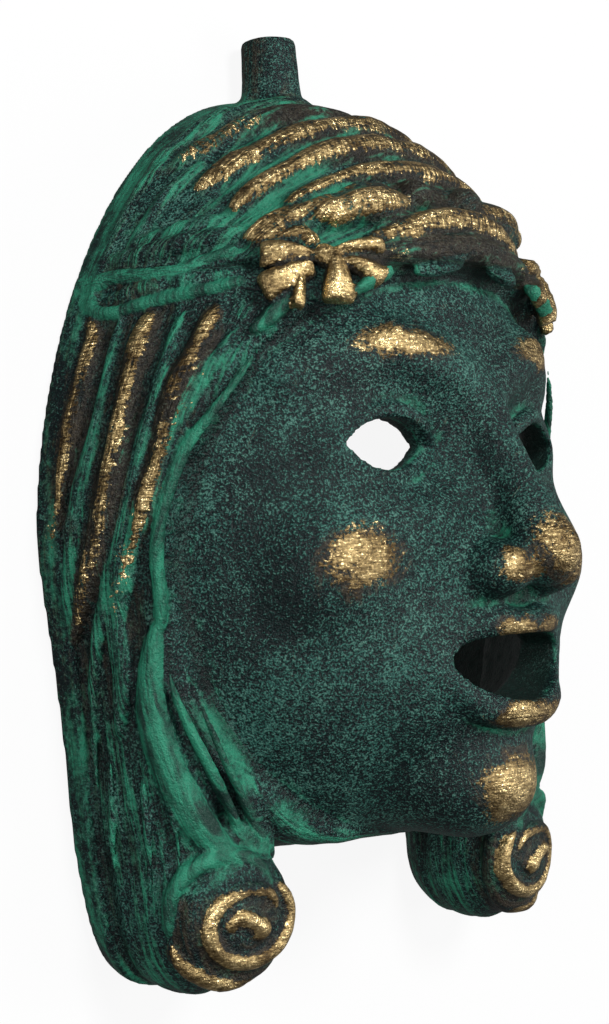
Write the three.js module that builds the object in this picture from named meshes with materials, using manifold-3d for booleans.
// Greek theatre mask: a small souvenir mask, sand cast in brass as one hollow shell and patinated.
// Millimetres. The mask lies on its flat back rim, face up: X is sideways, Y towards the crown,
// Z forward out of the face. Left and right halves mirror each other in X.
import * as THREE from 'three';
import { mergeVertices } from 'three/addons/utils/BufferGeometryUtils.js';
import Module from 'manifold-3d';

// Driving dimensions
const HALF_WIDTH = 51.2;        // half the width over the hair, at the back rim
const CROWN_TOP = 66.1;         // top of the hair above the eye line's datum
const LOCK_BOTTOM = -64.1;      // lowest point of the two side locks
const PEG_TOP = 74.6;           // top of the solid peg above the crown
const JAW_RIM = -46.5;          // level of the mask's edge under the jaw
const WALL = 3.6;               // thickness of the cast wall
const FACE_DEPTH = 41;          // forehead in front of the back rim
const STRAND_SINK = 0.55;       // share of a strand's radius that lies in the hair's ground
const MIDDLE_Y = (PEG_TOP + LOCK_BOTTOM) / 2;

// Height of the face's edge above the back rim, at each level Y, where the hair stops
const FACE_EDGE = [
  [-62, 30], [-45, 23], [-34, 20], [-23, 18.3], [-5, 17.6], [8, 20.4],
  [23, 27.4], [28, 30.6], [32, 34.5], [35, 39], [37, 46], [40, 60],
];

const vec = (x, y, z) => new THREE.Vector3(x, y, z);

// Implicit forms: each returns about how far a point is outside the form, in millimetres
const clamp01 = (t) => Math.min(1, Math.max(0, t));

function join(a, b, softness) {
  const h = clamp01(0.5 + (0.5 * (b - a)) / softness);
  return b * (1 - h) + a * h - softness * h * (1 - h);
}

const meet = (a, b, softness) => -join(-a, -b, softness);

function ellipsoid(p, centre, radii) {
  const q = p.clone().sub(centre).divide(radii);
  const size = q.length() + 1e-6;
  const slope = q.clone().divide(radii).length() + 1e-6;
  return (size * (size - 1)) / slope;
}

function rod(p, a, b, radiusA, radiusB) {
  const along = b.clone().sub(a);
  const t = clamp01(p.clone().sub(a).dot(along) / along.lengthSq());
  return p.distanceTo(a.clone().addScaledVector(along, t)) - (radiusA + (radiusB - radiusA) * t);
}

function chain(p, points, radii) {
  let nearest = Infinity;
  for (let i = 0; i + 1 < points.length; i += 1) {
    nearest = Math.min(nearest, rod(p, points[i], points[i + 1], radii[i], radii[i + 1]));
  }
  return nearest;
}

function between(table, y) {
  if (y <= table[0][0]) return table[0][1];
  for (let i = 1; i < table.length; i += 1) {
    const [y0, v0] = table[i - 1];
    const [y1, v1] = table[i];
    if (y <= y1) return v0 + ((v1 - v0) * (y - y0)) / (y1 - y0);
  }
  return table.at(-1)[1];
}

// The crown of hair, narrowing upwards and flattened in front, and the side lock that hangs from it
function crown(p) {
  const narrowed = vec(p.x * (1 + 0.002 * Math.max(p.y, 0)), p.y, p.z);
  const dome = ellipsoid(narrowed, vec(0, CROWN_TOP - 64.6, -8), vec(HALF_WIDTH, 64.6, 64));
  const front = ellipsoid(p, vec(0, 6, -17), vec(64, 84, FACE_DEPTH + 19.5));
  return meet(meet(dome, front, 7), JAW_RIM - p.y, 4);
}

function lock(p) {
  const side = vec(Math.abs(p.x), p.y, p.z);
  const hanging = ellipsoid(side, vec(39.3, -34, 4.5), vec(8.6, 27, 14.5));
  const end = ellipsoid(side, vec(34.6, LOCK_BOTTOM + 11.6, 9), vec(9.8, 11.6, 12));
  return join(hanging, end, 5);
}

const hairForm = (p) => join(crown(p), lock(p), 6);

// The face: a calm, smiling type mask with open mouth and pierced eyes
function head(p) {
  const skull = ellipsoid(p, vec(0, 8, -3), vec(45.5, 57, FACE_DEPTH + 3));
  const jaw = ellipsoid(p, vec(0, -14, 5), vec(39.5, 36, 36));
  return meet(join(skull, jaw, 12), JAW_RIM - p.y, 4);
}

function face(p) {
  const side = vec(Math.hypot(p.x, 0.8), p.y, p.z);
  const brow = [vec(5, 18.5, 38.5), vec(16, 23, 36.5), vec(30, 19.5, 28)];
  const ridge = [vec(0, 17, 38.5), vec(0, 5, 44), vec(0, -6.5, 48.6)];
  const wing = ellipsoid(side, vec(6, -8.6, 44.6), vec(4.2, 3.7, 4.8));
  let d = join(head(p), chain(side, brow, [2.6, 3, 2]), 5);
  d = meet(d, -ellipsoid(side, vec(16.5, 9.5, 43.5), vec(12.5, 8, 8.5)), 5);
  d = join(d, ellipsoid(side, vec(17.5, 9.3, 27.5), vec(12.5, 9, 9.2)), 1.5);
  d = join(d, ellipsoid(side, vec(25, -7, 29), vec(9, 8, 8)), 5);
  d = join(d, join(chain(p, ridge, [2.8, 3.1, 4.8]), wing, 2), 3.5);
  d = join(d, ellipsoid(p, vec(0, -22, 31), vec(18, 13, 12.5)), 6);
  return join(d, ellipsoid(p, vec(0, -38.5, 33), vec(10.5, 8, 9.5)), 6);
}

// The ground that the strands lie on, open over the face, with the smooth strip left along the rim
function hairGround(p) {
  const strip = meet(hairForm(p) - 0.1, p.z - 2.6, 1.2);
  const ground = Math.min(hairForm(p) + 0.9, strip);
  return meet(ground, (p.z - between(FACE_EDGE, p.y)) * 0.8, 1.6);
}

// The cavity behind the face and under the hair
function cavity(p) {
  const faceSide = join(
    ellipsoid(p, vec(0, 8, -3), vec(45.5 - WALL, 57 - WALL, FACE_DEPTH + 3 - WALL)),
    ellipsoid(p, vec(0, -14, 4), vec(39.5 - WALL, 36 - WALL, 36 - WALL)),
    10,
  );
  const nose = ellipsoid(p, vec(0, -3, 34), vec(5, 11, 9));
  const hairSide = ellipsoid(p, vec(0, CROWN_TOP - 64.6, -8),
    vec(HALF_WIDTH - WALL - 0.8, 64.6 - WALL - 0.8, 64 - WALL));
  const behind = meet(hairSide, p.z - between(FACE_EDGE, p.y) + 7, 3);
  const hollow = join(join(faceSide, nose, 3), behind, 3);
  return meet(hollow, JAW_RIM + WALL - p.y, 3);
}

// Outermost point of a form on the ray from an origin
function outermost(form, origin, direction, reach = 90) {
  let t = reach;
  for (let step = 0; step < 300; step += 1) {
    const d = form(origin.clone().addScaledVector(direction, t));
    if (d < 0.005 || t <= 0) break;
    t -= Math.max(d * 0.7, 0.005);
  }
  return origin.clone().addScaledVector(direction, Math.max(t, 0));
}

// Solids
const wasm = await Module();
wasm.setup();

function bare(geometry) {
  geometry.deleteAttribute('normal');
  geometry.deleteAttribute('uv');
  return mergeVertices(geometry, 1e-4);
}

function solid(geometry) {
  const merged = bare(geometry);
  return new wasm.Manifold(new wasm.Mesh({
    numProp: 3,
    vertProperties: new Float32Array(merged.attributes.position.array),
    triVerts: new Uint32Array(merged.index.array),
  }));
}

function mirrored(geometry) {
  const copy = bare(geometry.clone());
  copy.applyMatrix4(new THREE.Matrix4().makeScale(-1, 1, 1));
  const index = copy.index.array;
  for (let i = 0; i < index.length; i += 3) {
    [index[i], index[i + 1]] = [index[i + 1], index[i]];
  }
  return copy;
}

const bothSides = (geometry) => [geometry, mirrored(geometry)];

function moveVertices(geometry, move) {
  const position = geometry.attributes.position;
  const v = vec(0, 0, 0);
  for (let i = 0; i < position.count; i += 1) {
    const to = move(v.fromBufferAttribute(position, i).clone());
    position.setXYZ(i, to.x, to.y, to.z);
  }
  return geometry;
}

// Front of a form: a box whose top face is spread over the form by rays from the middle of the
// rim plane, and whose lower faces reach below the rim plane to be trimmed off. Crowding draws
// the rays together in the middle.
function frontSolid(form, columns, rows, crowding) {
  const centre = vec(0, 2, 0);
  const widest = THREE.MathUtils.degToRad(99);
  return moveVertices(new THREE.BoxGeometry(2, 2, 2, columns, rows, 1), (v) => {
    const x = v.x * Math.sqrt(1 - (v.y * v.y) / 2);
    const y = v.y * Math.sqrt(1 - (v.x * v.x) / 2);
    const radius = Math.min(Math.hypot(x, y), 1);
    const around = Math.atan2(y, x);
    const polar = widest * ((1 - crowding) * radius + crowding * radius ** 3);
    const direction = vec(
      Math.sin(polar) * Math.cos(around), Math.sin(polar) * Math.sin(around), Math.cos(polar),
    );
    const skin = outermost(form, centre, direction);
    return v.z > 0 ? skin : vec(skin.x * radius, skin.y * radius, -14);
  });
}

function cavitySolid(columns, rows) {
  const centre = vec(0, 0, 0);
  return moveVertices(new THREE.SphereGeometry(1, columns, rows), (v) => (
    outermost(cavity, centre, v.normalize())
  ));
}

// A strand: a ball drawn out along a curve, with its own radius at each point and rounded ends
function strand(points, radii, sides = 5, rowsPerPoint = 1) {
  const curve = new THREE.CatmullRomCurve3(points);
  const rows = (points.length - 1) * rowsPerPoint + 2;
  const radiusAt = (t) => {
    const place = t * (radii.length - 1);
    const i = Math.min(Math.floor(place), radii.length - 2);
    return radii[i] + (radii[i + 1] - radii[i]) * (place - i);
  };
  return moveVertices(new THREE.SphereGeometry(1, sides, rows), (v) => {
    const t = Math.acos(THREE.MathUtils.clamp(v.y, -1, 1)) / Math.PI;
    const ring = Math.hypot(v.x, v.z);
    const tangent = curve.getTangent(t);
    const across = vec(0.31, 0.2, 0.93).cross(tangent).normalize();
    const up = tangent.clone().cross(across);
    const swell = radiusAt(t) * Math.sqrt(1 - Math.abs(2 * t - 1) ** 5);
    const turn = Math.atan2(v.z, v.x);
    const place = curve.getPoint(t);
    if (ring < 1e-6) return place;
    place.addScaledVector(across, -swell * Math.cos(turn));
    return place.addScaledVector(up, -swell * Math.sin(turn));
  });
}

function ball(centre, radii, basis = new THREE.Matrix4(), sides = 7, rows = 4) {
  const geometry = new THREE.SphereGeometry(1, sides, rows);
  geometry.scale(radii.x, radii.y, radii.z);
  geometry.applyMatrix4(basis);
  geometry.translate(centre.x, centre.y, centre.z);
  return geometry;
}

// Points laid on the hair along rays, sunk by part of the strand's radius
function laid(origin, direction, radius) {
  const unit = direction.clone().normalize();
  return outermost(hairForm, origin, unit).addScaledVector(unit, -radius * STRAND_SINK);
}

// Crown: ridges combed from side to side, each at its own angle about a sideways axis
function crownStrands() {
  const axisY = 10;
  const ridges = [
    { middle: 88, side: 90, radius: 2.6, reach: 31 },
    { middle: 80.5, side: 81, radius: 2.7, reach: 37 },
    { middle: 73.5, side: 71, radius: 2.9, reach: 42 },
    { middle: 66.5, side: 62.5, radius: 3.0, reach: 42 },
    { middle: 60, side: 55.5, radius: 2.9, reach: 42 },
    { middle: 54, side: 49.5, radius: 2.6, reach: 42 },
    { middle: 48.5, side: 44.5, radius: 2.2, reach: 37 },
  ];
  const steps = 3;
  return ridges.map(({ middle, side, radius, reach }) => {
    const points = [];
    const radii = [];
    for (let i = -steps; i <= steps; i += 1) {
      const x = (reach * i) / steps;
      const share = Math.abs(x) / 40;
      const angle = THREE.MathUtils.degToRad(middle + (side - middle) * share);
      points.push(laid(vec(x, axisY, 0), vec(0, Math.sin(angle), Math.cos(angle)), radius));
      radii.push(radius * (1 - 0.45 * (Math.abs(x) / 42) ** 3));
    }
    return strand(points, radii);
  });
}

// Side hair: strands running down and back from the headband to the rim, as [Y, Z] places
function sideStrands() {
  const strands = [
    { radius: 2.1, run: [[29, 5.6], [15, 5.6], [2, 4.2], [-10, 1.8]] },
    { radius: 2.3, run: [[29, 10.2], [15, 9.6], [2, 7.4], [-10, 4.4], [-20, 1.8]] },
    { radius: 2.4, run: [[29, 14.8], [15, 13.4], [2, 10.8], [-11, 7.4], [-26, 3]] },
    { radius: 2.3, run: [[30, 19.4], [16, 17], [3, 13.8], [-12, 9.6], [-32, 5]] },
    { radius: 2.3, run: [[31, 23.6], [20, 21.2], [7, 17.4], [-8, 13.2], [-24, 9.6], [-40, 7.2]] },
    { radius: 2.0, run: [[30, 27.6], [18, 23.8], [6, 19.4], [-8, 15.4], [-22, 12.6], [-36, 11.5]] },
  ];
  return strands.flatMap(({ radius, run }) => {
    const points = run.map(([y, z]) => laid(vec(15, y, z), vec(1, 0, 0), radius));
    const radii = run.map((_, i) => (i === run.length - 1 ? radius * 0.6 : radius));
    return bothSides(strand(points, radii));
  });
}

// Three strands along the face's edge that run down into the scroll
function edgeStrands() {
  const broad = strand(
    [vec(44.4, -2, 16.7), vec(44, -12, 15.1), vec(42.8, -22, 14.7), vec(41, -32, 15.5),
      vec(37.4, -40.5, 16.7), vec(33.2, -45.5, 17.7)],
    [2.0, 2.5, 2.9, 3.1, 3.1, 2.6], 6,
  );
  const middle = strand(
    [vec(43.2, -10, 16.7), vec(41, -22, 16.9), vec(38.2, -32, 18.1), vec(34.4, -39.5, 19.1),
      vec(29, -46.5, 19.1)],
    [1.0, 1.4, 1.6, 1.7, 1.4],
  );
  const inner = strand(
    [vec(41.8, -14, 16.7), vec(38.8, -25, 17.7), vec(35.2, -33.5, 18.7), vec(30.6, -40.5, 18.9),
      vec(26, -47, 17.6)],
    [1.0, 1.3, 1.5, 1.7, 1.7],
  );
  return [broad, middle, inner].flatMap(bothSides);
}

// Scroll: a domed coil at the end of each lock, a spiral ridge wound around a button
function scroll() {
  const centre = vec(33.9, -53.6, 17);
  const out = vec(0.22, -0.12, 0.97).normalize();
  const across = vec(0, 1, 0).cross(out).normalize();
  const up = out.clone().cross(across);
  const basis = new THREE.Matrix4().makeBasis(across, up, out);
  const dome = ball(centre, vec(9.2, 9.6, 4.6), basis, 12, 6);
  const button = ball(centre.clone().addScaledVector(out, 3.2), vec(2.5, 2.4, 2.6), basis, 7, 5);
  const steps = 15;
  const points = [];
  const radii = [];
  for (let i = 0; i <= steps; i += 1) {
    const t = i / steps;
    const angle = THREE.MathUtils.degToRad(150 - 560 * t);
    const radius = 9.4 - 5 * t ** 0.9;
    const height = 4.6 * Math.sqrt(1 - (radius / 9.7) ** 2);
    const place = centre.clone().addScaledVector(across, radius * Math.cos(angle));
    place.addScaledVector(up, radius * Math.sin(angle)).addScaledVector(out, height);
    points.push(place);
    radii.push(1.5 - 0.35 * t);
  }
  return [dome, button, strand(points, radii, 5, 1)].flatMap(bothSides);
}

// Headband with its fillet over the forehead, the roll above it and a row of short curls
function headband() {
  const band = strand(
    [vec(43.8, 31.6, 5), vec(39.8, 32.6, 14), vec(35.6, 33.8, 21), vec(29.4, 35.4, 28), vec(24, 36, 33)],
    [2, 1.9, 1.9, 1.9, 1.8],
  );
  const fillet = strand(
    [vec(-24, 34.6, 33), vec(-14, 36.4, 38), vec(0, 37.8, 40.6), vec(14, 36.4, 38), vec(24, 34.6, 33)],
    [1.9, 1.9, 1.9, 1.9, 1.9], 6, 2,
  );
  const roll = strand(
    [vec(-22, 39, 33), vec(-13, 41, 37.4), vec(0, 42.2, 39.6), vec(13, 41, 37.4), vec(22, 39, 33)],
    [2.4, 3, 3.2, 3, 2.4], 7, 2,
  );
  const curls = [
    [vec(6, 46.4, 36.6), vec(5.2, 2.9, 3.2)],
    [vec(16.8, 44.6, 33), vec(5, 2.9, 3.2)],
  ].flatMap(([centre, radii]) => bothSides(ball(centre, radii)));
  return [...bothSides(band), fillet, roll, ...curls];
}

// Bow at each temple: leaf-shaped ends around a small knot
function bow() {
  const centre = vec(24, 35.8, 33.6);
  const out = vec(0.483, 0.43, 0.763).normalize();
  const back = vec(0.84, 0, -0.54);
  back.addScaledVector(out, -back.dot(out)).normalize();
  const up = out.clone().cross(back);
  if (up.y < 0) up.negate();
  const leaves = [
    { angle: 172, reach: 5, length: 4.4, width: 2.2 },
    { angle: -52, reach: 6.4, length: 4.6, width: 2.4 },
    { angle: -100, reach: 4.6, length: 4.4, width: 2.4 },
    { angle: -160, reach: 5.4, length: 4.2, width: 2.1 },
  ];
  const pieces = leaves.map(({ angle, reach, length, width }) => {
    const turn = THREE.MathUtils.degToRad(angle);
    const along = back.clone().multiplyScalar(-Math.cos(turn)).addScaledVector(up, Math.sin(turn));
    const side = out.clone().cross(along);
    const basis = new THREE.Matrix4().makeBasis(along, side, out);
    return ball(centre.clone().addScaledVector(along, reach), vec(length, width, 2), basis, 5, 4);
  });
  pieces.push(ball(centre.clone().addScaledVector(out, 0.8), vec(2.2, 2.2, 2.2), new THREE.Matrix4(), 5, 4));
  return pieces.flatMap(bothSides);
}

// Nose: its tip and wings, which the skin of the face runs into
function nose() {
  const tip = ball(vec(0, -6.2, 48.4), vec(4.9, 4.9, 4.9), undefined, 8, 6);
  const wing = ball(vec(6, -8.4, 44.8), vec(4.1, 3.7, 4.8), undefined, 7, 5);
  return [tip, ...bothSides(wing)];
}

// Lips around the open mouth and lids around the pierced eyes
function lips() {
  const upper = strand(
    [vec(-15.5, -17.6, 37.2), vec(-7, -16, 43), vec(0, -16.6, 44.6), vec(7, -16, 43), vec(15.5, -17.6, 37.2)],
    [1.2, 2.3, 2.3, 2.3, 1.2], 6, 2,
  );
  const lower = strand(
    [vec(-15.5, -20, 37.2), vec(-8, -27, 41.6), vec(0, -28.4, 43.4), vec(8, -27, 41.6), vec(15.5, -20, 37.2)],
    [1.2, 2.5, 2.6, 2.5, 1.2], 6, 2,
  );
  return [upper, lower];
}

function lids() {
  const upper = strand(
    [vec(8.2, 8.3, 35.6), vec(12, 12.2, 37.2), vec(17.5, 14, 36.4), vec(23.5, 12, 33), vec(27.5, 8.4, 28.8)],
    [0.9, 1.2, 1.3, 1.2, 0.8], 5,
  );
  const lower = strand(
    [vec(8.2, 8.3, 35.6), vec(13, 6, 36.2), vec(18, 5, 35.4), vec(23, 6, 32.6), vec(27.5, 8.4, 28.8)],
    [0.8, 0.9, 1, 0.9, 0.8], 5,
  );
  return [upper, lower].flatMap(bothSides);
}

// The short solid peg on the crown that the mask is fixed by
function peg() {
  const base = 58;
  const profile = [
    new THREE.Vector2(0, base), new THREE.Vector2(5.4, base), new THREE.Vector2(4.4, PEG_TOP - 6),
    new THREE.Vector2(4.2, PEG_TOP - 0.8), new THREE.Vector2(3.4, PEG_TOP), new THREE.Vector2(0, PEG_TOP),
  ];
  return new THREE.LatheGeometry(profile, 10).translate(0, 0, 4.6);
}

// Cutters for the eyes and the mouth, pulled along Z
function pulled(shape) {
  return new THREE.ExtrudeGeometry(shape, { depth: 50, bevelEnabled: false, curveSegments: 8 })
    .translate(0, 0, 20);
}

function eyeCutter() {
  const radius = 9.6;
  const offset = 6;
  const half = Math.acos(offset / radius);
  const shape = new THREE.Shape();
  shape.absarc(17.8, 9.4 - offset, radius, Math.PI / 2 - half, Math.PI / 2 + half, false);
  shape.absarc(17.8, 9.4 + offset, radius, 1.5 * Math.PI - half, 1.5 * Math.PI + half, false);
  return bothSides(pulled(shape));
}

function mouthCutter() {
  const points = [];
  const count = 24;
  for (let i = 0; i < count; i += 1) {
    const angle = (2 * Math.PI * i) / count;
    const x = 12.8 * Math.cos(angle);
    points.push(new THREE.Vector2(x, -22.4 + 0.0108 * x * x + 4.7 * Math.sin(angle)));
  }
  return pulled(new THREE.Shape(points));
}

// The outer shell alone: pinhole pockets closed in between crossing strands are filled
function outerShell(triangles, vertexCount) {
  const leader = Uint32Array.from({ length: vertexCount }, (_, i) => i);
  const find = (i) => {
    let at = i;
    while (leader[at] !== at) at = leader[at];
    return at;
  };
  for (let i = 0; i < triangles.length; i += 3) {
    leader[find(triangles[i])] = find(triangles[i + 2]);
    leader[find(triangles[i + 1])] = find(triangles[i + 2]);
  }
  const sizes = new Map();
  for (const vertex of triangles) sizes.set(find(vertex), (sizes.get(find(vertex)) ?? 0) + 1);
  const largest = [...sizes].sort((a, b) => b[1] - a[1])[0][0];
  return triangles.filter((_, i) => find(triangles[i - (i % 3)]) === largest);
}

function maskGeometry() {
  const added = [
    ...crownStrands(), ...sideStrands(), ...edgeStrands(), ...scroll(),
    ...headband(), ...bow(), ...nose(), ...lips(), ...lids(), peg(),
  ];
  const lockEnds = bothSides(ball(vec(34.6, LOCK_BOTTOM + 11.6, 9), vec(9.8, 11.6, 12), undefined, 12, 8));
  let body = solid(frontSolid(face, 24, 30, 0.45)).add(solid(frontSolid(hairGround, 16, 22, 0.15)));
  for (const piece of [...lockEnds, ...added]) body = body.add(solid(piece));
  const below = new THREE.BoxGeometry(200, 200, 60).translate(0, 0, -30);
  for (const cutter of [cavitySolid(20, 14), below, ...eyeCutter(), mouthCutter()]) {
    body = body.subtract(solid(cutter));
  }
  const { vertProperties, triVerts } = body.getMesh();
  const geometry = new THREE.BufferGeometry();
  geometry.setAttribute('position', new THREE.BufferAttribute(vertProperties, 3));
  geometry.setIndex(new THREE.BufferAttribute(outerShell(triVerts, vertProperties.length / 3), 1));
  geometry.computeVertexNormals();
  return geometry;
}

const patinatedBrass = new THREE.MeshStandardMaterial({ color: 0x2b5d50, metalness: 0.6, roughness: 0.55 });

const mask = new THREE.Mesh(maskGeometry(), patinatedBrass);
mask.name = 'mask';
mask.position.set(0, -MIDDLE_Y, 0);

const group = new THREE.Group();
group.add(mask);

export default group;
